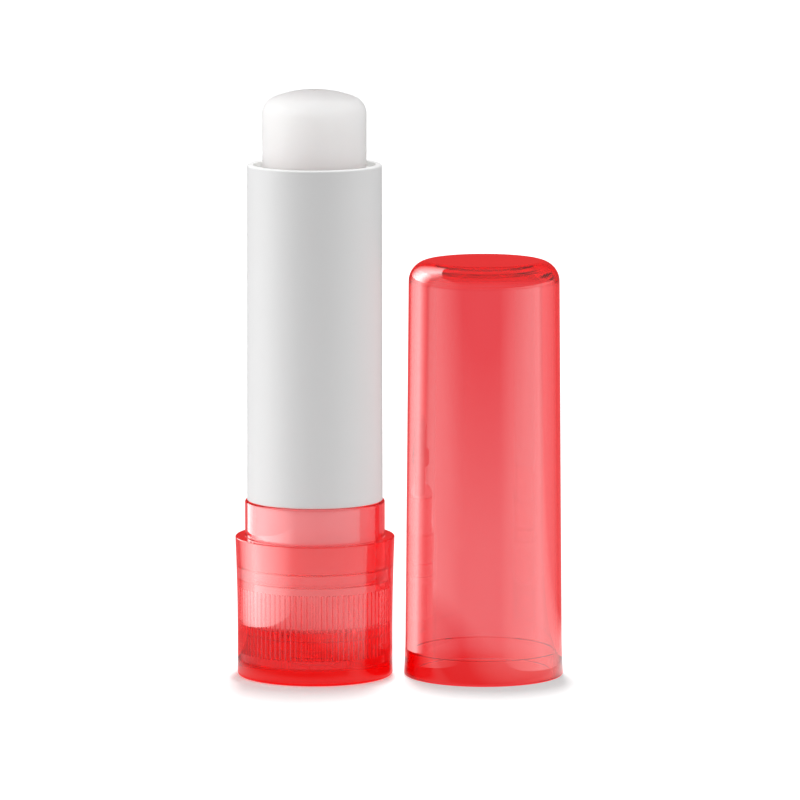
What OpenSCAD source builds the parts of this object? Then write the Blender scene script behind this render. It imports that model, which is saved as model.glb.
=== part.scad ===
// Twist-up lip balm stick with its cap taken off and stood beside it.
// Millimetres. The stick's axis is Z, and the origin is on that axis at the face it stands on.

/* [Balm] */
// Radius of the balm bullet
balm_r = 6.30; // [5:0.05:9]
// Length of the balm bullet, from the carrier to the tip
balm_len = 45; // [36:0.5:47]
// How far the balm stands out of the sleeve, as the stick is shown
balm_show = 9.0; // [3:0.1:14]
// Radius of the balm's shallow dome
dome_r = 14; // [10:0.5:20]
// Radius that the dome's edge is rounded to
dome_edge_r = 2.2; // [1:0.1:3]

/* [Inner tube] */
// Running gap between the balm and the bore of the inner tube
balm_gap = 0.10; // [0.06:0.01:0.3]
// Wall of the inner tube
tube_wall = 0.90; // [0.7:0.05:1.4]
// Thickness of the floor that closes the inner tube
tube_floor_t = 1.0; // [0.8:0.05:1.5]
// Width of each guide rib in the bore
guide_w = 0.70; // [0.5:0.05:1.2]
// Height of each guide rib above the bore
guide_h = 0.35; // [0.25:0.05:0.6]
// Side and tip gap of what slides along the guide ribs
guide_gap = 0.10; // [0.06:0.01:0.2]

/* [Sleeve] */
// Length of the sleeve, from the collar to its mouth
sleeve_len = 40.8; // [38.5:0.1:48]
// Wall of the outer sleeve at its foot
sleeve_wall = 0.87; // [0.7:0.01:1.1]
// How much the sleeve's radius shrinks towards its mouth
sleeve_draft = 0.07; // [0:0.01:0.15]
// Fitting gap between the sleeve and the inner tube
sleeve_gap = 0.03; // [0.02:0.01:0.06]
// How far the inner tube ends below the sleeve's mouth
tube_recess = 0.65; // [0.3:0.05:1.5]
// Radius of the sleeve's rounded mouth
sleeve_round = 0.25; // [0.1:0.05:0.35]

/* [Collar] */
// Fitting gap between the collar and the inner tube
collar_gap = 0.05; // [0.02:0.01:0.08]
// Wall of the collar where the cap grips it
collar_wall = 1.11; // [1.05:0.01:1.6]
// Height of the collar above the foot cup's rim
collar_show = 4.4; // [3.5:0.1:7]
// Depth of the collar below the foot cup's rim
collar_below = 5.2; // [4.6:0.1:5.6]
// How much thinner the collar is where the foot cup turns on it
collar_step = 0.18; // [0.16:0.01:0.24]
// How far the retaining bead stands out of the collar
bead_out = 0.38; // [0.3:0.01:0.42]
// Height of the retaining bead
bead_h = 1.35; // [1:0.05:1.6]
// Radius of the collar's rounded top edge
collar_round = 0.25; // [0.1:0.05:0.4]

/* [Foot cup] */
// Height of the foot cup
cup_h = 17.0; // [16.8:0.1:20]
// Running gap between the collar and the foot cup
cup_gap = 0.18; // [0.12:0.01:0.22]
// Wall of the foot cup at its rim
cup_wall = 1.19; // [1.15:0.01:1.8]
// How much slimmer the foot cup is at its waist than at its rim
cup_flare = 0.28; // [0:0.01:0.3]
// Height of the waist
cup_waist_z = 4.4; // [2:0.1:8]
// Thickness of the foot cup's floor
cup_floor_t = 1.7; // [1.2:0.1:1.8]
// Radius of the rounded foot edge
cup_foot_round = 0.35; // [0.1:0.05:0.6]
// Number of fine ribs inside the foot cup
rib_count = 80; // [60:1:96]
// Height of each rib above the bore
rib_h = 0.32; // [0.2:0.01:0.4]
// Length of the ribs
rib_len = 8.0; // [6:0.1:8]
// Height of the ribs' lower ends above the floor
rib_above_floor = 1.22; // [0.5:0.01:1.3]
// Gap between the ribs and the knurl that they grip
knurl_gap = 0.07; // [0.04:0.01:0.1]

/* [Drive screw] */
// Height of the knurled drive wheel
wheel_h = 4.6; // [3.5:0.1:4.7]
// Thickness of the drive wheel's web and skirt
wheel_wall = 1.2; // [0.9:0.05:1.6]
// Gap under and over the drive wheel
wheel_gap = 0.08; // [0.04:0.01:0.12]
// Radius of the journal that turns in the inner tube's floor
journal_r = 2.55; // [2.5:0.05:3]
// Running gap of the journal
journal_gap = 0.06; // [0.03:0.01:0.09]
// How far the snap bead over the floor stands out of the journal
snap_out = 0.40; // [0.3:0.05:0.6]
// Height of the snap bead
snap_h = 0.8; // [0.6:0.1:1.2]
// Core radius of the screw
core_r = 1.7; // [1.5:0.05:1.8]
// Outer radius of the thread
thread_r = 2.45; // [2.3:0.01:2.45]
// Rise of the thread in one turn
lead = 5.0; // [4:0.25:6]
// Distance from the inner tube's mouth down to the screw's tip
screw_below = 2.9; // [2.5:0.1:5]

/* [Carrier] */
// Thickness of the carrier's platform
platform_t = 1.2; // [0.9:0.1:1.8]
// Length of the threaded hub under the platform
nut_len = 4.0; // [3:0.1:5]
// Wall of the hub outside its thread
hub_wall = 0.95; // [0.8:0.05:1.2]
// Gap between the screw's thread and the hub's thread
thread_gap = 0.25; // [0.2:0.01:0.28]
// Height of the grip that is cast into the balm
grip_h = 4.0; // [2:0.1:6]
// Reach of the grip's fins beyond the hub
fin_reach = 1.6; // [1:0.1:1.8]
// Thickness of the grip's fins
fin_t = 0.8; // [0.6:0.1:1.2]

/* [Cap] */
// Height of the cap
cap_h = 50.5; // [50:0.1:60]
// Gap between the cap's gripping band and the collar
cap_fit = 0.06; // [0.03:0.01:0.09]
// Wall of the cap at its gripping band
cap_wall = 0.99; // [0.95:0.01:1.3]
// How much the cap's outside shrinks from mouth to shoulder
cap_draft = 0.42; // [0.3:0.01:0.45]
// How far the lip at the mouth flares out
lip_flare = 0.15; // [0:0.01:0.3]
// Height over which the lip flares
lip_h = 5.0; // [3:0.1:8]
// Height of the gripping band inside the mouth
grip_band_h = 2.97; // [2:0.01:3.4]
// Depth of the step above the gripping band
band_step = 0.20; // [0.1:0.01:0.3]
// Wall of the cap at its shoulder
cap_top_wall = 0.80; // [0.75:0.01:0.85]
// Thickness of the cap's closed end
crown_t = 1.5; // [1:0.1:2.2]
// Radius of the cap's outer shoulder
shoulder_r = 2.5; // [1.5:0.1:3]
// Radius of the corner inside the cap's closed end
crown_corner_r = 1.4; // [0.5:0.1:1.7]
// Clear space between the foot cup and the cap beside it
beside_gap = 1.13; // [0.5:0.01:40]

/* [Hidden] */

// Fineness of round faces, and a small overlap that keeps cuts clean
$fn = 96;
eps = 0.01;
outline_steps = 12;

// Radii, from the balm outwards
tube_bore_r = balm_r + balm_gap;
tube_r = tube_bore_r + tube_wall;
sleeve_bore_r = tube_r + sleeve_gap;
sleeve_r = sleeve_bore_r + sleeve_wall;
collar_bore_r = tube_r + collar_gap;
collar_r = collar_bore_r + collar_wall;
collar_run_r = collar_r - collar_step;
bead_r = collar_run_r + bead_out;
cup_bore_r = collar_run_r + cup_gap;
cup_groove_r = bead_r + cup_gap;
cup_rim_r = cup_bore_r + cup_wall;
cup_waist_r = cup_rim_r - cup_flare;
rib_tip_r = cup_bore_r - rib_h;
knurl_tip_r = cup_bore_r - knurl_gap;
knurl_root_r = rib_tip_r - knurl_gap;
cap_bore_r = collar_r + cap_fit;
cap_foot_r = cap_bore_r + cap_wall;
cap_mouth_r = cap_foot_r + lip_flare;
cap_top_r = cap_foot_r - cap_draft;

// Heights, from the face that the stick stands on
rib_low_z = cup_floor_t + rib_above_floor;
wheel_low_z = cup_floor_t + wheel_gap;
wheel_top_z = wheel_low_z + wheel_h;
tube_low_z = wheel_top_z + wheel_gap;
tube_floor_z = tube_low_z + tube_floor_t;
collar_top_z = cup_h + collar_show;
sleeve_top_z = collar_top_z + sleeve_len;
tube_top_z = sleeve_top_z - tube_recess;
tube_len = tube_top_z - tube_low_z;
collar_low_z = cup_h - collar_below;
bead_low_z = collar_low_z + cup_gap;
screw_low_z = tube_floor_z + wheel_gap + snap_h;
screw_top_z = tube_top_z - screw_below;
balm_top_z = sleeve_top_z + balm_show;
balm_low_z = balm_top_z - balm_len;
platform_low_z = balm_low_z - platform_t;
hub_r = thread_r + thread_gap + hub_wall;
// The balm goes down until its tip lies this far inside the sleeve
sink = 1.0;
travel_down = balm_show + sink;
// Room over the screw's tip when the balm is wound right down
tip_room = 0.4;
channel_len = screw_top_z - (balm_low_z - travel_down) + tip_room;
channel_r = thread_r + thread_gap;
cap_x = cup_rim_r + cap_mouth_r + beside_gap;

// The waisted outside of the foot cup is a parabola through its waist and its rim
function cup_outer_r(z) = cup_waist_r + cup_flare * pow((z - cup_waist_z) / (cup_h - cup_waist_z), 2);

// The cap's outside leans in steadily, and its lip flares out as a parabola
function cap_outer_r(z) =
    cap_foot_r - cap_draft * z / cap_h + lip_flare * pow(max(0, lip_h - z) / lip_h, 2);

// Two wide teeth that wind about the screw's core, as one level cut shows them.
// half_tip and half_root are half angles in degrees.
function thread_section(r_root, r_tip, half_root, half_tip) = [
    for (start = [0, 180]) for (corner = [
        [r_root, -half_root],
        [r_tip, -half_tip],
        [r_tip, 0],
        [r_tip, half_tip],
        [r_root, half_root]
    ]) corner[0] * [cos(start + corner[1]), sin(start + corner[1])]
];

// Closed outline of a ring of teeth. tip and root are the shares of the pitch that their flats take,
// and turn shifts the ring by a share of the pitch.
function tooth_outline(count, r_tip, r_root, tip, root, turn) = [
    for (i = [0 : count - 1]) for (corner = [
        [-tip / 2, r_tip],
        [tip / 2, r_tip],
        [0.5 - root / 2, r_root],
        [0.5 + root / 2, r_root]
    ]) corner[1] * [cos((i + turn + corner[0]) * 360 / count), sin((i + turn + corner[0]) * 360 / count)]
];

// What is cut from a square corner at [r, r] to round it
module corner_cut(r) {
    difference() {
        square(r + eps);
        circle(r = r);
    }
}

// A screw shape of the given height that winds to the left
module winding(height, r_root, r_tip, half_root, half_tip) {
    linear_extrude(height = height, twist = 360 * height / lead, slices = ceil(12 * height / lead), $fn = 10)
        polygon(thread_section(r_root, r_tip, half_root, half_tip));
}

// The turning foot cup, with its ribbed bore and the groove that the collar's bead snaps into
module base_cup() {
    groove_low_z = bead_low_z - cup_gap;
    groove_h = bead_h + 2 * cup_gap;
    root_depth = 0.1;
    color("#E8303C", 0.75) {
        difference() {
            rotate_extrude() difference() {
                polygon(concat(
                    [[0, 0]],
                    [for (i = [0 : outline_steps]) [cup_outer_r(cup_h * i / outline_steps), cup_h * i / outline_steps]],
                    [[0, cup_h]]
                ));
                translate([0, cup_floor_t]) square([cup_bore_r, cup_h]);
                translate([cup_outer_r(0) - cup_foot_round, cup_foot_round])
                    mirror([0, 1]) corner_cut(cup_foot_round);
            }
            translate([0, 0, groove_low_z]) difference() {
                cylinder(r = cup_groove_r, h = groove_h);
                translate([0, 0, -eps]) cylinder(r = cup_bore_r - eps, h = groove_h + 2 * eps);
            }
        }
        translate([0, 0, rib_low_z]) linear_extrude(rib_len) difference() {
            circle(r = cup_bore_r + 2 * root_depth);
            polygon(tooth_outline(rib_count, cup_bore_r + root_depth, rib_tip_r, 0.28, 0.20, 0));
        }
    }
}

// The drive wheel and the screw are one moulding. Its knurl sits between the cup's ribs, its journal
// turns in the inner tube's floor, and a bead above that floor holds it.
module drive_screw() {
    skirt_bore_r = knurl_root_r - wheel_wall;
    web_z = wheel_top_z - wheel_wall;
    hub_reach_r = journal_r + wheel_wall / 2;
    root_depth = 0.1;
    color("#D81E2A", 0.85) {
        difference() {
            union() {
                translate([0, 0, rib_low_z]) linear_extrude(wheel_top_z - rib_low_z)
                    polygon(tooth_outline(rib_count, knurl_tip_r, knurl_root_r - root_depth, 0.24, 0.24, 0));
                translate([0, 0, wheel_low_z]) cylinder(r = knurl_root_r, h = wheel_top_z - wheel_low_z);
            }
            translate([0, 0, wheel_low_z - eps]) difference() {
                cylinder(r = skirt_bore_r, h = web_z - wheel_low_z + eps);
                translate([0, 0, -eps]) cylinder(r = hub_reach_r, h = wheel_h);
            }
        }
        translate([0, 0, web_z]) cylinder(r = journal_r, h = tube_floor_z + wheel_gap + eps - web_z);
        translate([0, 0, tube_floor_z + wheel_gap]) cylinder(r = journal_r + snap_out, h = snap_h);
        translate([0, 0, screw_low_z - eps]) cylinder(r = core_r, h = screw_top_z - screw_low_z);
        translate([0, 0, screw_low_z - eps])
            winding(screw_top_z - screw_low_z, core_r - 0.1, thread_r, 44, 26);
    }
}

// The clear red ring between cup and sleeve. The cap grips its upper land, and the cup turns below it.
module collar() {
    land_low_z = cup_h + 0.05;
    bead_top_z = bead_low_z + bead_h;
    color("#EA3A46", 0.7) rotate_extrude() difference() {
        polygon([
            [collar_bore_r, collar_low_z],
            [collar_run_r, collar_low_z],
            [bead_r, bead_low_z + bead_out],
            [bead_r, bead_top_z],
            [collar_run_r, bead_top_z],
            [collar_run_r, land_low_z],
            [collar_r, land_low_z],
            [collar_r, collar_top_z],
            [collar_bore_r, collar_top_z]
        ]);
        translate([collar_r - collar_round, collar_top_z - collar_round]) corner_cut(collar_round);
    }
}

// Two ribs along the bore, at the left and the right, that keep the carrier from turning.
// grow widens them for the grooves that ride on them.
module guide_ribs(low_z, high_z, grow) {
    for (side = [0, 180]) rotate([0, 0, side])
        translate([tube_bore_r - guide_h - grow, -guide_w / 2 - grow, low_z])
            cube([guide_h + grow + tube_wall / 2, guide_w + 2 * grow, high_z - low_z]);
}

// The inner tube, with a floor that the journal passes and a mouth just inside the sleeve's
module inner_tube() {
    mouth_round = 0.2;
    color("#F4F4F2") {
        rotate_extrude() difference() {
            translate([0, tube_low_z]) square([tube_r, tube_len]);
            translate([0, tube_floor_z]) square([tube_bore_r, tube_len]);
            translate([0, tube_low_z - eps]) square([journal_r + journal_gap, tube_floor_t + 2 * eps]);
            translate([tube_r - mouth_round, tube_top_z - mouth_round]) corner_cut(mouth_round);
        }
        intersection() {
            guide_ribs(tube_floor_z - eps, tube_top_z - 2 * mouth_round, 0);
            cylinder(r = tube_bore_r + tube_wall / 4, h = tube_top_z);
        }
    }
}

// The outer sleeve, pressed over the inner tube and seated on the collar
module sleeve() {
    color("#EFEFEF") rotate_extrude() difference() {
        polygon([
            [sleeve_bore_r, collar_top_z],
            [sleeve_r, collar_top_z],
            [sleeve_r - sleeve_draft, sleeve_top_z],
            [sleeve_bore_r, sleeve_top_z]
        ]);
        translate([sleeve_r - sleeve_draft - sleeve_round, sleeve_top_z - sleeve_round])
            corner_cut(sleeve_round);
    }
}

// The hub and four fins above the platform, which the balm is cast around
module carrier_grip() {
    translate([0, 0, balm_low_z - eps]) cylinder(r = hub_r, h = grip_h + eps);
    for (quarter = [45, 135, 225, 315]) rotate([0, 0, quarter])
        translate([hub_r - hub_wall / 2, -fin_t / 2, balm_low_z - eps])
            cube([hub_wall / 2 + fin_reach, fin_t, 0.75 * grip_h + eps]);
}

// The carrier: a platform that slides on the guide ribs, with a threaded hub below it
module carrier() {
    nut_low_z = platform_low_z - nut_len;
    nut_turn = -360 * (nut_low_z - screw_low_z) / lead;
    color("#F0F0EC") difference() {
        union() {
            translate([0, 0, platform_low_z]) cylinder(r = balm_r, h = platform_t);
            translate([0, 0, nut_low_z]) cylinder(r = hub_r, h = nut_len + eps);
            carrier_grip();
        }
        guide_ribs(platform_low_z - eps, balm_low_z + eps, guide_gap);
        translate([0, 0, platform_low_z]) cylinder(r = channel_r, h = platform_t + grip_h + 1);
        translate([0, 0, nut_low_z - eps]) cylinder(r = core_r + thread_gap, h = nut_len + 1);
        translate([0, 0, nut_low_z - eps]) rotate([0, 0, nut_turn])
            winding(nut_len + 2 * eps, core_r + thread_gap - 0.1, channel_r, 60, 42);
    }
}

// The balm: a round bar with a shallow dome, grooved by the guide ribs and cast over the carrier's grip
module balm() {
    dome_z = balm_top_z - dome_r;
    edge_x = balm_r - dome_edge_r;
    edge_z = dome_z + sqrt(pow(dome_r - dome_edge_r, 2) - pow(edge_x, 2));
    color("#ECECEA") difference() {
        rotate_extrude() {
            translate([0, balm_low_z]) square([balm_r, edge_z - balm_low_z]);
            translate([0, edge_z - eps]) square([edge_x, (dome_r - (edge_z - dome_z)) / 2]);
            translate([edge_x, edge_z]) circle(r = dome_edge_r);
            intersection() {
                translate([0, dome_z]) circle(r = dome_r);
                polygon([[0, dome_z], [2 * edge_x, dome_z + 2 * (edge_z - dome_z)], [0, dome_z + 2 * dome_r]]);
            }
        }
        guide_ribs(balm_low_z - eps, balm_top_z + 1, guide_gap);
        translate([0, 0, balm_low_z - eps]) cylinder(r = channel_r, h = channel_len + eps);
        carrier_grip();
    }
}

// The cap, stood mouth down beside the stick
module cap() {
    crown_z = cap_h - crown_t;
    inner_top_r = cap_outer_r(crown_z) - cap_top_wall;
    lip_steps = 6;
    color("#EE5560", 0.6) translate([cap_x, 0, 0]) rotate_extrude() difference() {
        polygon(concat(
            [[0, 0]],
            [for (i = [0 : lip_steps]) [cap_outer_r(lip_h * i / lip_steps), lip_h * i / lip_steps]],
            [[cap_outer_r(cap_h), cap_h], [0, cap_h]]
        ));
        difference() {
            polygon([
                [0, -1],
                [cap_bore_r, -1],
                [cap_bore_r, grip_band_h],
                [cap_bore_r + band_step, grip_band_h + band_step / 2],
                [inner_top_r, crown_z],
                [0, crown_z]
            ]);
            translate([inner_top_r - crown_corner_r, crown_z - crown_corner_r]) corner_cut(crown_corner_r);
        }
        translate([cap_outer_r(cap_h) - shoulder_r, cap_h - shoulder_r]) corner_cut(shoulder_r);
    }
}

base_cup();
drive_screw();
collar();
inner_tube();
sleeve();
carrier();
balm();
cap();
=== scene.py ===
import math

import bpy
import numpy as np
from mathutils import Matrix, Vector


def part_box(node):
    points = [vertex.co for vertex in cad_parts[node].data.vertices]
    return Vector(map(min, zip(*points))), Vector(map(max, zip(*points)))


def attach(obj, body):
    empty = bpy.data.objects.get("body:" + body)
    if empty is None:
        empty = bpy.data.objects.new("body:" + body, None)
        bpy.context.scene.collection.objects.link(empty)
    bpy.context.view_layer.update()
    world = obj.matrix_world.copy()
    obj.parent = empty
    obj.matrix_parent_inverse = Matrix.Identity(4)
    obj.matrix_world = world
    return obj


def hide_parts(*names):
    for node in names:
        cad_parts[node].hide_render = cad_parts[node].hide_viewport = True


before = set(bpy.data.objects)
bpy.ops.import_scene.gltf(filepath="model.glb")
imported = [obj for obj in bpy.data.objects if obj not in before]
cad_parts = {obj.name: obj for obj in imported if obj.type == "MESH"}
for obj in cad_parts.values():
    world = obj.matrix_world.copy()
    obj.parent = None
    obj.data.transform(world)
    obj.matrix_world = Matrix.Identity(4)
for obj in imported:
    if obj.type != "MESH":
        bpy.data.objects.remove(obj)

# The stick and its cap stand on a white table. The camera looks at them from a little above, as the
# photographer's did: 900 mm away, 160 mm over the table, and tilted down by 8 degrees.
scene = bpy.context.scene
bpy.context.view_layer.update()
camera_data = bpy.data.cameras.new("camera")
camera_data.sensor_width = 36.0
camera_data.lens = 338.5
camera = bpy.data.objects.new("camera", camera_data)
camera.location = (0.0103, -0.9, 0.16)
camera.rotation_euler = (math.radians(90 - 8.0), 0, 0)
scene.collection.objects.link(camera)
scene.camera = camera


# The white paper that the pieces stand on. It takes the lamps' light and the pieces' shadows, and glows a
# little where the camera sees it. Seen through the plastic it is white, with painted red light near the pieces,
# for light that has come through their red walls. What the plastic mirrors of it has painted shade, grey far in
# front and far behind, and a painted shadow round the stick's foot.
def node(owner, kind, inputs=None, **properties):
    """Adds a shader node. inputs gives each socket its value, or a node and the output that it is linked to."""
    made = owner.node_tree.nodes.new(kind)
    for name, value in properties.items():
        setattr(made, name, value)
    for socket, value in (inputs or {}).items():
        if isinstance(value, tuple) and isinstance(value[0], bpy.types.Node):
            source, output = value
            owner.node_tree.links.new(source.outputs[output], made.inputs[socket])
        else:
            made.inputs[socket].default_value = value
    return made


def linear(code):
    """An sRGB hex colour as linear RGBA: each channel is ((c + 0.055) / 1.055) ** 2.4, or c / 12.92 near black."""
    channels = [int(code[i : i + 2], 16) / 255 for i in (1, 3, 5)]
    return [((c + 0.055) / 1.055) ** 2.4 if c > 0.04045 else c / 12.92 for c in channels] + [1.0]


black, white = linear("#000000"), linear("#FFFFFF")
# the red is painted light: the paper glows in it near the pieces, for light that has come through red walls
sheet_white, painted_red_light = linear("#F4F4F4"), linear("#F95050")
# painted shade: the greys of the paper as the plastic mirrors it, dark far in front and far behind
painted_mirror_greys = ((0.10, "#595959"), (0.54, "#F6F6F6"), (0.80, "#F9F9F9"), (0.88, "#616161"))
# the second point is the centre of a painted shadow round the stick's foot, in what the plastic mirrors
cap_axis, painted_shadow_centre = (0.02044, 0.0, 0.0), (-0.012, -0.005, 0.0)
paper_seen = 0.87

paper = bpy.data.materials.new("white_matt_paper")
paper.use_nodes = True
paper.node_tree.nodes.clear()
sight = node(paper, "ShaderNodeLightPath")
on_paper = node(paper, "ShaderNodeTexCoord")
mirrored = node(
    paper,
    "ShaderNodeMath",
    {0: (sight, "Is Glossy Ray"), 1: (sight, "Is Reflection Ray")},
    operation="MULTIPLY",
)

# as the clear pieces mirror it: painted shade in greys from front to back, with a painted shadow round the stick's
# foot
across = node(paper, "ShaderNodeSeparateXYZ", {"Vector": (on_paper, "Object")})
depth = node(paper, "ShaderNodeMapRange", {"Value": (across, "Y"), "From Min": -0.40, "From Max": 0.10})
greys = node(paper, "ShaderNodeValToRGB", {"Fac": (depth, 0)})
ramp = greys.color_ramp.elements
ramp[0].position, ramp[1].position = painted_mirror_greys[0][0], painted_mirror_greys[-1][0]
for position, _ in painted_mirror_greys[1:-1]:
    ramp.new(position)
for element, (_, grey) in zip(ramp, painted_mirror_greys):
    element.color = linear(grey)
from_foot = node(paper, "ShaderNodeVectorMath", {0: (on_paper, "Object"), 1: painted_shadow_centre}, operation="DISTANCE")
# painted shadow: the mirrored greys fall to 0.15 within 34 mm of that centre, and are full again by 56 mm
painted_foot_shadow = node(
    paper,
    "ShaderNodeMapRange",
    {"Value": (from_foot, "Value"), "From Min": 0.034, "From Max": 0.056, "To Min": 0.15, "To Max": 1.0},
)
greys_with_painted_shadow = node(paper, "ShaderNodeMix", {0: (painted_foot_shadow, 0), 6: black, 7: (greys, 0)}, data_type="RGBA")

# as a lit sheet: white, but with the painted shade above where the plastic mirrors it, and left dark for what is
# seen through the plastic, where it only glows
paper_colour = node(paper, "ShaderNodeMix", {0: (mirrored, 0), 6: sheet_white, 7: (greys_with_painted_shadow, 2)}, data_type="RGBA")
sheet_colour = node(
    paper,
    "ShaderNodeMix",
    {0: (sight, "Is Transmission Ray"), 6: (paper_colour, 2), 7: black},
    data_type="RGBA",
)
sheet = node(paper, "ShaderNodeBsdfDiffuse", {"Color": (sheet_colour, 2)})

# its glow: more at a distance for the camera, and painted red light up to 18 mm from either axis for the plastic
apart = node(paper, "ShaderNodeVectorMath", {0: (on_paper, "Object")}, operation="LENGTH")
fill = node(
    paper,
    "ShaderNodeMapRange",
    {"Value": (apart, "Value"), "From Min": 0.05, "From Max": 0.40, "To Min": 0.30, "To Max": 0.76},
)
from_cap = node(paper, "ShaderNodeVectorMath", {0: (on_paper, "Object"), 1: cap_axis}, operation="DISTANCE")
nearest = node(paper, "ShaderNodeMath", {0: (apart, "Value"), 1: (from_cap, "Value")}, operation="MINIMUM")
# painted red light: full within 9.5 mm of either axis, and gone by 18 mm
red_light = node(
    paper,
    "ShaderNodeMapRange",
    {"Value": (nearest, 0), "From Min": 0.0095, "From Max": 0.0180, "To Min": 1.0, "To Max": 0.0},
)
seen_fill = node(paper, "ShaderNodeMath", {0: (fill, 0), 1: (sight, "Is Camera Ray")}, operation="MULTIPLY")
under_fill = node(paper, "ShaderNodeMath", {0: (red_light, 0), 1: (mirrored, 0)}, operation="MULTIPLY")
lit_fill = node(
    paper,
    "ShaderNodeMath",
    {0: (under_fill, 0), 1: paper_seen, 2: (seen_fill, 0)},
    operation="MULTIPLY_ADD",
)
glow_strength = node(
    paper,
    "ShaderNodeMath",
    {0: (sight, "Is Transmission Ray"), 1: paper_seen, 2: (lit_fill, 0)},
    operation="MULTIPLY_ADD",
)
red_seen = node(
    paper,
    "ShaderNodeMath",
    {0: (sight, "Is Camera Ray"), 1: -1.0, 2: (red_light, 0)},
    operation="MULTIPLY_ADD",
)
glow_colour = node(paper, "ShaderNodeMix", {0: (red_seen, 0), 6: white, 7: painted_red_light}, data_type="RGBA")
glow = node(paper, "ShaderNodeEmission", {"Strength": (glow_strength, 0), "Color": (glow_colour, 2)})
paper_sum = node(paper, "ShaderNodeAddShader", {0: (glow, 0), 1: (sheet, 0)})
node(paper, "ShaderNodeOutputMaterial", {"Surface": (paper_sum, 0)})

# the air under the pieces is 0.05 mm thick
table_reach, table_z = 4.0, -0.00005
table_corners = [(x * table_reach, y * table_reach, table_z) for x, y in ((-1, -1), (1, -1), (1, 1), (-1, 1))]
table_mesh = bpy.data.meshes.new("table")
table_mesh.from_pydata(table_corners, [], [(0, 1, 2, 3)])
table_mesh.materials.append(paper)
table = bpy.data.objects.new("table", table_mesh)
scene.collection.objects.link(table)


# The foot cup, which the thumb turns. It is moulded in clear red styrene acrylonitrile (SAN) against
# polished steel, waisted outside, with 80 fine ribs in its bore that grip the drive wheel.
def millimetres(node_name):
    """Lowest and highest corner of a CAD node, in millimetres."""
    low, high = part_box(node_name)
    return np.array(low) * 1000, np.array(high) * 1000


def rounded(corners, steps=6, guard=0.05):
    """Outline of a turned piece as (radius, height) points in millimetres, from (radius, height, rounding)
    corners. An arc replaces each corner that has a rounding: it starts rounding / tan(half the corner's angle)
    before it. A point just outside either end of the arc keeps the shading of the straight runs flat."""
    points = []
    for i, (radius, height, rounding) in enumerate(corners):
        here = np.array([radius, height])
        if rounding == 0:
            points.append(here)
            continue
        back = np.array(corners[i - 1][:2]) - here
        ahead = np.array(corners[(i + 1) % len(corners)][:2]) - here
        back, ahead = back / np.linalg.norm(back), ahead / np.linalg.norm(ahead)
        half = math.acos(np.clip(back @ ahead, -1, 1)) / 2
        reach = rounding / math.tan(half)
        centre = here + (back + ahead) / np.linalg.norm(back + ahead) * rounding / math.sin(half)
        start, end = here + back * reach - centre, here + ahead * reach - centre
        sweep = math.pi - 2 * half
        points.append(here + back * (reach + guard))
        for t in np.linspace(0, 1, steps + 1):
            arm = (start * math.sin((1 - t) * sweep) + end * math.sin(t * sweep)) / math.sin(sweep)
            points.append(centre + arm)
        points.append(here + ahead * (reach + guard))
    return np.array(points)


def turned(name, outline, body, centre_x=0.0, angles=240, relief=None):
    """A piece turned about the vertical axis at centre_x: x = centre_x + r cos(a), y = r sin(a), z = height.
    The outline runs up the outside of the wall and down its inside. Where it starts and ends on the axis, each
    end is a pole; otherwise it closes on itself. relief(r, z, a) is added to r, for ribs and grooves."""
    if isinstance(angles, int):
        angles = np.arange(angles) * 2 * math.pi / angles
    count = len(angles)
    has_poles = outline[0, 0] == 0
    rings = outline[1:-1] if has_poles else outline
    r, z, a = np.broadcast_arrays(rings[:, :1], rings[:, 1:], angles[None, :])
    if relief is not None:
        r = r + relief(r, z, a)
    points = np.stack([centre_x + r * np.cos(a), r * np.sin(a), z], -1).reshape(-1, 3)
    i = np.arange(len(rings) - 1 if has_poles else len(rings))[:, None] * count
    above = (i + count) % (len(rings) * count)
    j = np.arange(count)[None, :]
    beside = (j + 1) % count
    faces = np.stack([i + j, i + beside, above + beside, above + j], -1).reshape(-1, 4).tolist()
    if has_poles:
        low_pole, high_pole = np.full_like(j, len(points)), np.full_like(j, len(points) + 1)
        points = np.vstack([points, [centre_x, 0, outline[0, 1]], [centre_x, 0, outline[-1, 1]]])
        last = (len(rings) - 1) * count
        faces += np.stack([low_pole, beside, j], -1)[0].tolist()
        faces += np.stack([high_pole, last + j, last + beside], -1)[0].tolist()
    mesh = bpy.data.meshes.new(name)
    mesh.from_pydata(points * 0.001, [], faces)
    mesh.shade_smooth()
    mesh.set_sharp_from_angle(angle=math.radians(45))
    piece = bpy.data.objects.new(name, mesh)
    scene.collection.objects.link(piece)
    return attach(piece, body)


def clear_red(name, tint, density):
    """Dyed styrene acrylonitrile, moulded against polished steel: it shows as clear as glass with a red body, an
    even gloss, and the faint flow waves of a moulding, 4 mm apart. tint and density are the dye's."""
    plastic = bpy.data.materials.new(name)
    plastic.use_nodes = True
    plastic.node_tree.nodes.clear()
    flow_pitch_m = 0.004
    place = node(plastic, "ShaderNodeTexCoord")
    waves = node(
        plastic,
        "ShaderNodeTexNoise",
        {"Vector": (place, "Object"), "Scale": 1 / flow_pitch_m, "Detail": 1.0},
    )
    surface = node(plastic, "ShaderNodeBump", {"Height": (waves, 0), "Strength": 0.02, "Distance": 0.0002})
    polish = {"Roughness": 0.02, "Coat Weight": 1.0, "Coat Roughness": 0.02}
    glassy = {"Base Color": white, "Transmission Weight": 1.0, "IOR": 1.57}
    clear = node(plastic, "ShaderNodeBsdfPrincipled", {"Normal": (surface, 0), **glassy, **polish})
    dye = node(plastic, "ShaderNodeVolumeAbsorption", {"Color": tint, "Density": density})
    node(plastic, "ShaderNodeOutputMaterial", {"Surface": (clear, 0), "Volume": (dye, 0)})
    return plastic


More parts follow.
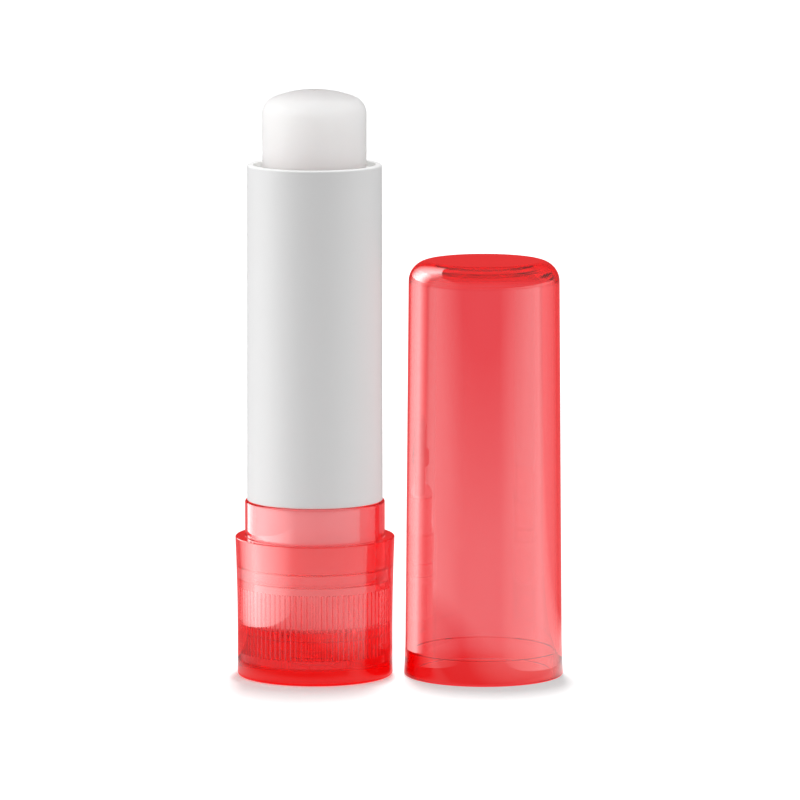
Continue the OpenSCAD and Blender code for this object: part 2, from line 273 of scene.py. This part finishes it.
# roundings of moulded edges, and how near a point's radius is to a wall's to lie on it, in millimetres
edge, fine_edge = 0.1, 0.05
on_wall = 0.01
cup_high = millimetres("base_cup")[1]
rim_r, rim_z = cup_high[0], cup_high[2]
waist_in, waist_z = 0.28, 4.4
foot_rounding, lip_rounding, floor_rounding = 0.35, 0.15, 0.25
cup_floor = 1.7
cup_bore = rim_r - 1.19
# The CAD ribs are 0.32 mm high. Drawn that high, they bend the light into harsher lines than the real cup shows.
rib_height, rib_count = 0.18, 80
rib_low, rib_high, rib_end = 2.92, 10.92, 0.06
groove_depth, groove_low, groove_high, groove_slope = 0.38, 11.8, 13.51, 0.14


def cup_outside(z):
    """Outer radius of the foot cup: a parabola with its waist at waist_z."""
    return rim_r - waist_in + waist_in * ((z - waist_z) / (rim_z - waist_z)) ** 2


def cup_ribs(r, z, a):
    """Ribs in the bore: a cosine wave round it, one wave to a rib, with steep ends."""
    profile = 0.5 - 0.5 * np.cos(a * rib_count)
    along = np.clip((z - rib_low) / rib_end, 0, 1) * np.clip((rib_high - z) / rib_end, 0, 1)
    return -rib_height * profile * along * (np.abs(r - cup_bore) < on_wall)


rib_stations = (
    [rib_high + 0.1, rib_high, rib_high - rib_end, rib_high - 2 * rib_end]
    + list(np.linspace(rib_high - 0.5, rib_low + 0.5, 8))
    + [rib_low + 2 * rib_end, rib_low + rib_end, rib_low, rib_low - 0.1]
)
cup_outline = rounded(
    [(0, 0, 0), (cup_outside(0.0), 0, foot_rounding)]
    + [(cup_outside(z), z, 0) for z in np.linspace(1.0, rim_z - 0.5, 24)]
    + [(rim_r - 0.01, rim_z, lip_rounding), (cup_bore, rim_z, edge)]
    + [(cup_bore, groove_high, fine_edge), (cup_bore + groove_depth, groove_high - groove_slope, edge)]
    + [(cup_bore + groove_depth, groove_low + groove_slope, edge), (cup_bore, groove_low, fine_edge)]
    + [(cup_bore, z, 0) for z in rib_stations]
    + [(cup_bore, cup_floor, floor_rounding), (0, cup_floor, 0)]
)
clear_red_cup = clear_red("red_san_foot_cup", linear("#FF4656"), 1000.0)
foot_cup = turned("foot_cup", cup_outline, "base", angles=rib_count * 10, relief=cup_ribs)
foot_cup.data.materials.append(clear_red_cup)
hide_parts("base_cup")

# The drive screw, inside: a knurled wheel that sits between the cup's ribs and a two-start, left-handed
# screw, one moulding in the same clear red. The wheel shows through the cup, the screw is hidden.
wheel_low, wheel_top, wheel_wall = 1.78, 6.38, 1.2
wheel_ceiling = wheel_top - wheel_wall
knurl_play = 0.07
knurl_root, knurl_tip = cup_bore - rib_height - knurl_play, cup_bore - knurl_play
skirt_bore = knurl_root - wheel_wall
journal = 2.55
hub_r = journal + wheel_wall / 2
snap_low, snap_top, snap_r = 7.54, 8.34, 2.95
wheel_rounding = 0.2


def knurl(r, z, a):
    """Teeth round the wheel: the same wave, half a pitch on, so that each tooth lies between two ribs."""
    profile = 0.5 + 0.5 * np.cos(a * rib_count)
    along = np.clip((z - rib_low) / rib_end, 0, 1)
    return (knurl_tip - knurl_root) * profile * along * (np.abs(r - knurl_root) < on_wall)


knurl_stations = [rib_low - 0.05, rib_low, rib_low + rib_end, rib_low + 2 * rib_end] + list(
    np.linspace(rib_low + 0.5, wheel_top - 0.3, 5)
)
wheel_outline = rounded(
    [(0, wheel_low, 0), (hub_r, wheel_low, edge), (hub_r, wheel_ceiling, wheel_rounding)]
    + [(skirt_bore, wheel_ceiling, wheel_rounding), (skirt_bore, wheel_low, edge), (knurl_root, wheel_low, edge)]
    + [(knurl_root, z, 0) for z in knurl_stations]
    + [(knurl_root, wheel_top, edge), (journal, wheel_top, edge), (journal, snap_low, edge)]
    + [(snap_r, snap_low, edge), (snap_r, snap_top, wheel_rounding), (0, snap_top, 0)]
)
clear_red_wheel = clear_red("red_san_drive_screw", linear("#FF3040"), 1900.0)
drive_wheel = turned("drive_wheel", wheel_outline, "base", angles=rib_count * 10, relief=knurl)
drive_wheel.data.materials.append(clear_red_wheel)
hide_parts("drive_screw")

core_r, thread_r, lead = 1.7, 2.45, 5.0
crest_half_deg, flank_deg, thread_end = 44, 18, 0.4
screw_foot, screw_top = snap_top + 0.01, millimetres("drive_screw")[1][2]


def thread(r, z, a):
    """A left-handed thread with two crests, which turn once, clockwise from above, as z rises by lead. The radius
    falls from thread_r to core_r as the angle from the nearest crest nears crest_half_deg."""
    off_crest = (np.degrees(a) + 360 * (z - snap_top) / lead + 90) % 180 - 90
    flank = np.clip((crest_half_deg - np.abs(off_crest)) / flank_deg, 0, 1)
    fade = np.clip((screw_top - z) / thread_end, 0, 1)
    return (thread_r - core_r) * flank * (np.abs(r - core_r) < on_wall) * fade


screw_outline = np.array(
    [(0, screw_foot)] + [(core_r, z) for z in np.linspace(screw_foot, screw_top, 260)] + [(0, screw_top)]
)
feed_screw = turned("feed_screw", screw_outline, "base", angles=60, relief=thread)
feed_screw.data.materials.append(clear_red_wheel)
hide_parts("drive_screw")

# The collar: a clear red ring pressed over the inner tube. Its bead snaps into the cup's groove, the cup
# turns on its lower part, and the cap grips the land that shows above the cup.
collar_low, collar_high = millimetres("collar")
collar_land, land_step = 8.46, 0.18
land_low = rim_z + 0.05
collar_run = collar_land - land_step
collar_bore = 7.35
bead_out, bead_low, bead_high, bead_rounding = 0.38, 11.98, 13.33, 0.15
run_rounding, land_rounding = 0.08, 0.25
step_inner, step_outer = 0.02, 0.03
collar_outline = rounded(
    [(collar_bore, collar_low[2], edge), (collar_run, collar_low[2], run_rounding)]
    + [(collar_run + bead_out, bead_low + bead_out, bead_rounding)]
    + [(collar_run + bead_out, bead_high, bead_rounding), (collar_run, bead_high, run_rounding)]
    + [(collar_run, land_low, step_inner), (collar_land, land_low, step_outer)]
    + [(collar_land, collar_high[2], land_rounding), (collar_bore, collar_high[2], edge)]
)
clear_red_collar = clear_red("red_san_collar", linear("#FF6070"), 760.0)
collar = turned("collar_ring", collar_outline, "barrel")
collar.data.materials.append(clear_red_collar)
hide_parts("collar")


# The inner tube that the balm slides in, moulded in white polypropylene with two guide ribs in its bore.
# Its foot is the white that shows through the cup and the collar, and its mouth shows inside the sleeve's.
def white_plastic(name, colour, roughness, grain_mm):
    """White polypropylene: a soft waxy gloss over a fine even grain, and the gloss varies a little, in clouds
    8 mm apart."""
    plastic = bpy.data.materials.new(name)
    plastic.use_nodes = True
    plastic.node_tree.nodes.clear()
    place = node(plastic, "ShaderNodeTexCoord")
    grain = node(
        plastic,
        "ShaderNodeTexNoise",
        {"Vector": (place, "Object"), "Scale": 1000 / grain_mm, "Detail": 2.0},
    )
    surface = node(plastic, "ShaderNodeBump", {"Height": (grain, 0), "Strength": 0.15, "Distance": 0.00002})
    clouds_per_metre, gloss_change = 120.0, 0.03
    cloud = node(
        plastic,
        "ShaderNodeTexNoise",
        {"Vector": (place, "Object"), "Scale": clouds_per_metre, "Detail": 2.0},
    )
    gloss = node(
        plastic,
        "ShaderNodeMapRange",
        {"Value": (cloud, 0), "To Min": roughness - gloss_change, "To Max": roughness + gloss_change},
    )
    body = node(
        plastic,
        "ShaderNodeBsdfPrincipled",
        {"Normal": (surface, 0), "Roughness": (gloss, 0), "IOR": 1.49, "Base Color": colour},
    )
    node(plastic, "ShaderNodeOutputMaterial", {"Surface": (body, 0)})
    return plastic


tube_low, tube_high = millimetres("inner_tube")
tube_r, tube_bore = tube_high[0], 6.4
tube_floor = tube_low[2] + 1.0
journal_bore = journal + 0.06
tube_rounding = 0.2
guide_width, guide_height = 0.7, 0.35
guide_top = tube_high[2] - 0.4


def with_columns_at(half_width, radius, count=240):
    """Evenly spaced angles, with more where a rib or groove of that half width has its flanks, left and right."""
    flank = math.asin(half_width / radius)
    extra = [side + k * (flank + d) for side in (0, math.pi) for k in (-1, 1) for d in (-0.01, 0.0, 0.01)]
    even = np.arange(count) * 2 * math.pi / count
    return np.unique(np.round(np.concatenate([even, np.array(extra) % (2 * math.pi)]), 6))


def guides(r, z, a):
    """Two ribs along the bore, at the left and the right."""
    inside = (np.abs(r - tube_bore) < on_wall) & (z < guide_top) & (z > tube_floor)
    return -guide_height * inside * (np.abs(r * np.sin(a)) <= guide_width / 2 + 0.001)


tube_outline = rounded(
    [(journal_bore, tube_low[2], fine_edge), (tube_r, tube_low[2], tube_rounding)]
    + [(tube_r, tube_high[2], tube_rounding), (tube_bore, tube_high[2], edge)]
    + [(tube_bore, guide_top + 0.01, 0), (tube_bore, guide_top - 0.01, 0)]
    + [(tube_bore, tube_floor, 0), (journal_bore, tube_floor, fine_edge)]
)
tube_white = white_plastic("white_polypropylene_tube", linear("#F0F0EE"), 0.3, 0.15)
guide_columns = with_columns_at(guide_width / 2, tube_bore)
tube = turned("balm_tube", tube_outline, "barrel", angles=guide_columns, relief=guides)
tube.data.materials.append(tube_white)
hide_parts("inner_tube")

# The outer sleeve, white polypropylene with a satin finish. It is pressed over the tube and sits on the
# collar, and narrows a little towards its mouth, so that it leaves its mould.
sleeve_low, sleeve_high = millimetres("sleeve")
sleeve_draft, press_gap = 0.07, 0.03
sleeve_foot, sleeve_bore = sleeve_high[0], tube_r + press_gap
sleeve_mouth = sleeve_foot - sleeve_draft
lip_outer, lip_inner = 0.25, 0.15
sleeve_outline = rounded(
    [(sleeve_bore, sleeve_low[2], edge), (sleeve_foot, sleeve_low[2], edge)]
    + [(sleeve_mouth, sleeve_high[2], lip_outer), (sleeve_bore, sleeve_high[2], lip_inner)]
)
sleeve_white = white_plastic("white_polypropylene_sleeve", linear("#F0F0F0"), 0.42, 0.12)
sleeve = turned("outer_sleeve", sleeve_outline, "barrel")
sleeve.data.materials.append(sleeve_white)
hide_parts("sleeve")

# The carrier, hidden under the balm: a platform on a threaded hub, moulded in the same white polypropylene.
# Its CAD mesh is kept as it is and takes the material.
carrier_white = white_plastic("white_polypropylene_carrier", linear("#EEEEEA"), 0.45, 0.15)
carrier_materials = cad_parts["carrier"].data.materials
for slot_number in range(len(carrier_materials)):
    carrier_materials[slot_number] = carrier_white

# The balm: white wax cast round the carrier's grip and turned up 9 mm. Its tip is a shallow dome, and the
# tube's guides leave a groove down either side.
balm_low, balm_high = millimetres("balm")
balm_r, dome_r, dome_edge = 6.3, 14.0, 2.2
channel_r, channel_top = 2.7, balm_low[2] + 42.85
grip_r, grip_top = 3.65, balm_low[2] + 4.0
groove_half, groove_r = 0.45, 5.95
end_run = 0.1
dome_z, edge_r = balm_high[2] - dome_r, balm_r - dome_edge
edge_z = dome_z + math.sqrt((dome_r - dome_edge) ** 2 - edge_r**2)
edge_turn = math.asin(edge_r / (dome_r - dome_edge))
edge_arc = [
    (edge_r + dome_edge * math.cos(t), edge_z + dome_edge * math.sin(t))
    for t in np.linspace(0, math.pi / 2 - edge_turn, 12)
]
dome_arc = [(dome_r * math.sin(t), dome_z + dome_r * math.cos(t)) for t in np.linspace(edge_turn, 0, 16)[1:]]
balm_outline = np.array(
    [(0, channel_top), (channel_r, channel_top), (channel_r, grip_top), (grip_r, grip_top), (grip_r, balm_low[2])]
    + [(balm_r, balm_low[2]), (balm_r, balm_low[2] + end_run), (balm_r, edge_z - end_run)]
    + edge_arc
    + dome_arc
)


def balm_grooves(r, z, a):
    """The grooves stop at groove_r from the axis, where the balm is within groove_half of the tube's guides."""
    in_groove = np.abs(r * np.sin(a)) <= groove_half + 0.001
    return np.where(in_groove, np.minimum(groove_r, r), r) - r


# cast wax: light goes a little way in, so its shading is soft, and its skin has faint clouds 2 mm apart
wax = bpy.data.materials.new("cast_white_wax")
wax.use_nodes = True
wax.node_tree.nodes.clear()
wax_clouds_per_metre = 450.0
wax_place = node(wax, "ShaderNodeTexCoord")
wax_cloud = node(
    wax,
    "ShaderNodeTexNoise",
    {"Vector": (wax_place, "Object"), "Scale": wax_clouds_per_metre, "Detail": 3.0},
)
wax_skin = node(wax, "ShaderNodeBump", {"Height": (wax_cloud, 0), "Strength": 0.12, "Distance": 0.0001})
glow_within = {"Subsurface Weight": 1.0, "Subsurface Radius": (1.0, 0.98, 0.95), "Subsurface Scale": 0.008}
wax_body = node(
    wax,
    "ShaderNodeBsdfPrincipled",
    {"Normal": (wax_skin, 0), "Base Color": linear("#F4F3F1"), "Roughness": 0.45, "IOR": 1.44, **glow_within},
)
node(wax, "ShaderNodeOutputMaterial", {"Surface": (wax_body, 0)})
groove_columns = with_columns_at(groove_half, balm_r)
balm = turned("balm_bullet", balm_outline, "balm_carrier", angles=groove_columns, relief=balm_grooves)
balm.data.materials.append(wax)
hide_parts("balm")

# The cap, moulded in the same clear red as the cup, stands mouth down. A thicker band inside its mouth grips
# the collar, and its lip flares a little.
cap_low, cap_high = millimetres("cap")
cap_x = (cap_low[0] + cap_high[0]) / 2
cap_mouth = (cap_high[0] - cap_low[0]) / 2
cap_top = cap_high[2]
lip_flare, lip_height = 0.15, 5.0
cap_foot = cap_mouth - lip_flare
cap_draft = 0.42
band_bore, band_top, band_step = 8.52, 2.97, 0.20
crown, crown_wall, crown_corner, shoulder = 1.5, 0.8, 1.4, 2.5
mouth_inner, mouth_outer = 0.15, 0.2


def cap_outside(z):
    """Outer radius of the cap: it leans in steadily, and its lip flares out as a parabola."""
    return cap_foot - cap_draft * z / cap_top + lip_flare * (max(0.0, lip_height - z) / lip_height) ** 2


ceiling = cap_top - crown
cap_outline = rounded(
    [(0, ceiling, 0), (cap_outside(ceiling) - crown_wall, ceiling, crown_corner)]
    + [(band_bore + band_step, band_top + band_step / 2, fine_edge), (band_bore, band_top, fine_edge)]
    + [(band_bore, 0, mouth_inner), (cap_mouth, 0, mouth_outer)]
    + [(cap_outside(z), z, 0) for z in np.linspace(0.5, lip_height, 8)]
    + [(cap_outside(cap_top), cap_top, shoulder), (0, cap_top, 0)],
    steps=14,
)
clear_red_cap = clear_red("red_san_cap", linear("#FF4460"), 1600.0)
cap = turned("clear_cap", cap_outline, "cap", centre_x=cap_x)
cap.data.materials.append(clear_red_cap)
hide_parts("cap")

# The white room, which is plain white to the camera, a soft light on the pieces, and bright through the
# plastic. The clear pieces mirror it darker towards the back.
room_light, room_white, room_through = 0.35, 0.65, 0.52
room = bpy.data.worlds.new("white_room")
scene.world = room
room.use_nodes = True
room.node_tree.nodes.clear()
room_sight = node(room, "ShaderNodeLightPath")
room_place = node(room, "ShaderNodeTexCoord")
room_across = node(room, "ShaderNodeSeparateXYZ", {"Vector": (room_place, "Generated")})
room_back = node(
    room,
    "ShaderNodeMapRange",
    {"Value": (room_across, "Y"), "From Min": 0.3, "From Max": 0.9, "To Min": -0.03, "To Max": -0.32},
)
room_seen = node(
    room,
    "ShaderNodeMath",
    {0: (room_sight, "Is Camera Ray"), 1: room_white, 2: room_light},
    operation="MULTIPLY_ADD",
)
in_mirror = node(
    room,
    "ShaderNodeMath",
    {0: (room_sight, "Is Reflection Ray"), 1: (room_sight, "Is Glossy Ray")},
    operation="MULTIPLY",
)
mirror_change = node(room, "ShaderNodeMath", {0: (in_mirror, 0), 1: (room_back, 0)}, operation="MULTIPLY")
room_mirrored = node(room, "ShaderNodeMath", {0: (room_seen, 0), 1: (mirror_change, 0)}, operation="ADD")
room_strength = node(
    room,
    "ShaderNodeMath",
    {0: (room_sight, "Is Transmission Ray"), 1: room_through, 2: (room_mirrored, 0)},
    operation="MULTIPLY_ADD",
)
room_shine = node(room, "ShaderNodeBackground", {"Strength": (room_strength, 0), "Color": white})
node(room, "ShaderNodeOutputWorld", {"Surface": (room_shine, 0)})


# Plain studio lamps: a soft one overhead throws the short shadows in front, one at each side lights only the
# pieces, and one lights only the wax. The clear pieces alone mirror narrow strips that stand close beside them,
# left and right, and a red card behind them, which keeps their edges and the cap's flat top red.
def pieces_named(name, state, *pieces):
    """A collection that lists pieces for a lamp, to take its light or to be passed over by it."""
    listed = bpy.data.collections.new(name)
    for piece in pieces:
        listed.objects.link(piece)
    for entry in listed.collection_objects:
        entry.light_linking.link_state = state
    return listed


def soft_panel(
    name, place, aim, width, height, radiance, peak=None, only_in=None, passes=None, mirrored=False, colour=white
):
    """An area lamp. Its power in watts is its radiance times its area times pi. With a peak, it fades to both
    sides from that share of its width: (the lesser of u / peak and (1 - u) / (1 - peak)) ** 1.4. A mirrored lamp
    shows only in mirror images, and the others light without showing in them."""
    lamp_data = bpy.data.lights.new(name, "AREA")
    lamp_data.shape = "RECTANGLE"
    lamp_data.size, lamp_data.size_y = width, height
    lamp_data.color = colour[:3]
    lamp_data.energy = radiance * width * height * math.pi
    if peak is not None:
        lamp_data.use_nodes = True
        lamp_data.node_tree.nodes.clear()
        on_lamp = node(lamp_data, "ShaderNodeNewGeometry")
        along = node(lamp_data, "ShaderNodeSeparateXYZ", {"Vector": (on_lamp, "Parametric")})
        rising = node(lamp_data, "ShaderNodeMath", {0: (along, "X"), 1: 1 / peak}, operation="MULTIPLY")
        falling = node(
            lamp_data,
            "ShaderNodeMath",
            {0: (along, "X"), 1: -1 / (1 - peak), 2: 1 / (1 - peak)},
            operation="MULTIPLY_ADD",
        )
        lesser = node(lamp_data, "ShaderNodeMath", {0: (rising, 0), 1: (falling, 0)}, operation="MINIMUM")
        fade = node(lamp_data, "ShaderNodeMath", {0: (lesser, 0), 1: 1.4}, operation="POWER")
        shine = node(lamp_data, "ShaderNodeEmission", {"Strength": (fade, 0), "Color": white})
        node(lamp_data, "ShaderNodeOutputLight", {"Surface": (shine, 0)})
    lamp = bpy.data.objects.new(name, lamp_data)
    lamp.location = place
    direction = np.array(aim) - np.array(place)
    turn = math.atan2(direction[1], direction[0]) - math.pi / 2
    tilt = math.atan2(direction[2], math.hypot(direction[0], direction[1]))
    lamp.rotation_euler = (math.pi / 2 + tilt, 0, turn)
    lamp.visible_camera = False
    lamp.visible_diffuse = not mirrored
    lamp.visible_glossy = mirrored
    lamp.visible_transmission = False
    if only_in is not None:
        lamp.light_linking.receiver_collection = only_in
    if passes is not None:
        lamp.light_linking.blocker_collection = passes
    scene.collection.objects.link(lamp)


clear_of_stick, whites = (foot_cup, drive_wheel, feed_screw, collar), (tube, sleeve, balm)
clear_passed = pieces_named("clear_passed", "EXCLUDE", *clear_of_stick, cap)
all_but_wax = pieces_named("all_but_wax", "EXCLUDE", balm)
only_pieces = pieces_named("only_pieces", "INCLUDE", *clear_of_stick, *whites, cap)
only_stick = pieces_named("only_stick", "INCLUDE", *clear_of_stick)
only_cap = pieces_named("only_cap", "INCLUDE", cap)
only_clear = pieces_named("only_clear", "INCLUDE", *clear_of_stick, cap)
only_wax = pieces_named("only_wax", "INCLUDE", balm)

between_pieces, barrel_middle, balm_middle = (0.01, 0.0, 0.0), (0.0, 0.0, 0.045), (0.0, 0.0, 0.067)
soft_panel("overhead_light", (0.01, 0.075, 0.60), between_pieces, 0.03, 0.11, 230.0, only_in=all_but_wax)
for name, place, radiance in (
    ("left_light", (-0.40, 0.0, 0.06), 4.9),
    ("right_light", (0.42, -0.06, 0.06), 2.3),
):
    soft_panel(name, place, barrel_middle, 0.30, 0.30, radiance, only_in=only_pieces, passes=clear_passed)
soft_panel("wax_light", (-0.02, -0.13, 0.40), balm_middle, 0.25, 0.25, 4.2, only_in=only_wax)
for name, place, aim, width, height, radiance, peak, seen_in in (
    ("stick_left_strip", (-0.012, -0.012, 0.0113), (0.02, -0.012, 0.0113), 0.026, 0.0110, 3.2, 0.25, only_stick),
    ("collar_left_strip", (-0.012, -0.010, 0.0195), (0.02, -0.010, 0.0195), 0.030, 0.0055, 2.8, 0.09, only_stick),
    ("cap_left_strip", (0.0102, -0.0024, 0.0275), (0.02, -0.0024, 0.0275), 0.0068, 0.049, 2.3, 0.68, only_cap),
    ("cap_left_glow", (0.0102, -0.0125, 0.0275), (0.02, -0.0125, 0.0275), 0.017, 0.052, 0.7, 0.2, only_cap),
    ("cap_right_strip", (0.0324, -0.01625, 0.025), (0.02, -0.01625, 0.025), 0.0355, 0.048, 1.15, 0.775, only_cap),
    ("cap_shoulder_light", (0.0083, -0.0015, 0.053), (0.013, -0.005, 0.0475), 0.012, 0.010, 4.2, 0.5, only_cap),
):
    soft_panel(name, place, aim, width, height, radiance, peak=peak, only_in=seen_in, mirrored=True)
card_place, card_aim, card_red = (0.01, 0.012, 0.05), (0.01, 0.0, 0.05), linear("#FF3030")
soft_panel("red_card", card_place, card_aim, 0.25, 0.10, 0.75, only_in=only_clear, mirrored=True, colour=card_red)

# the cap doesn't tint the paper and the barrel beside it, and the clear pieces don't mirror the barrel
cap.visible_diffuse = False
for barrel_piece in (*whites, feed_screw):
    barrel_piece.visible_glossy = False

# Light that is mirrored to and fro inside the clear walls ends black when its path is cut short, so the paths
# are long.
scene.view_settings.view_transform = "Standard"
scene.cycles.max_bounces = 96
scene.cycles.transmission_bounces = 96
scene.cycles.glossy_bounces = 96
scene.cycles.diffuse_bounces = 8
scene.cycles.blur_glossy = 0.0
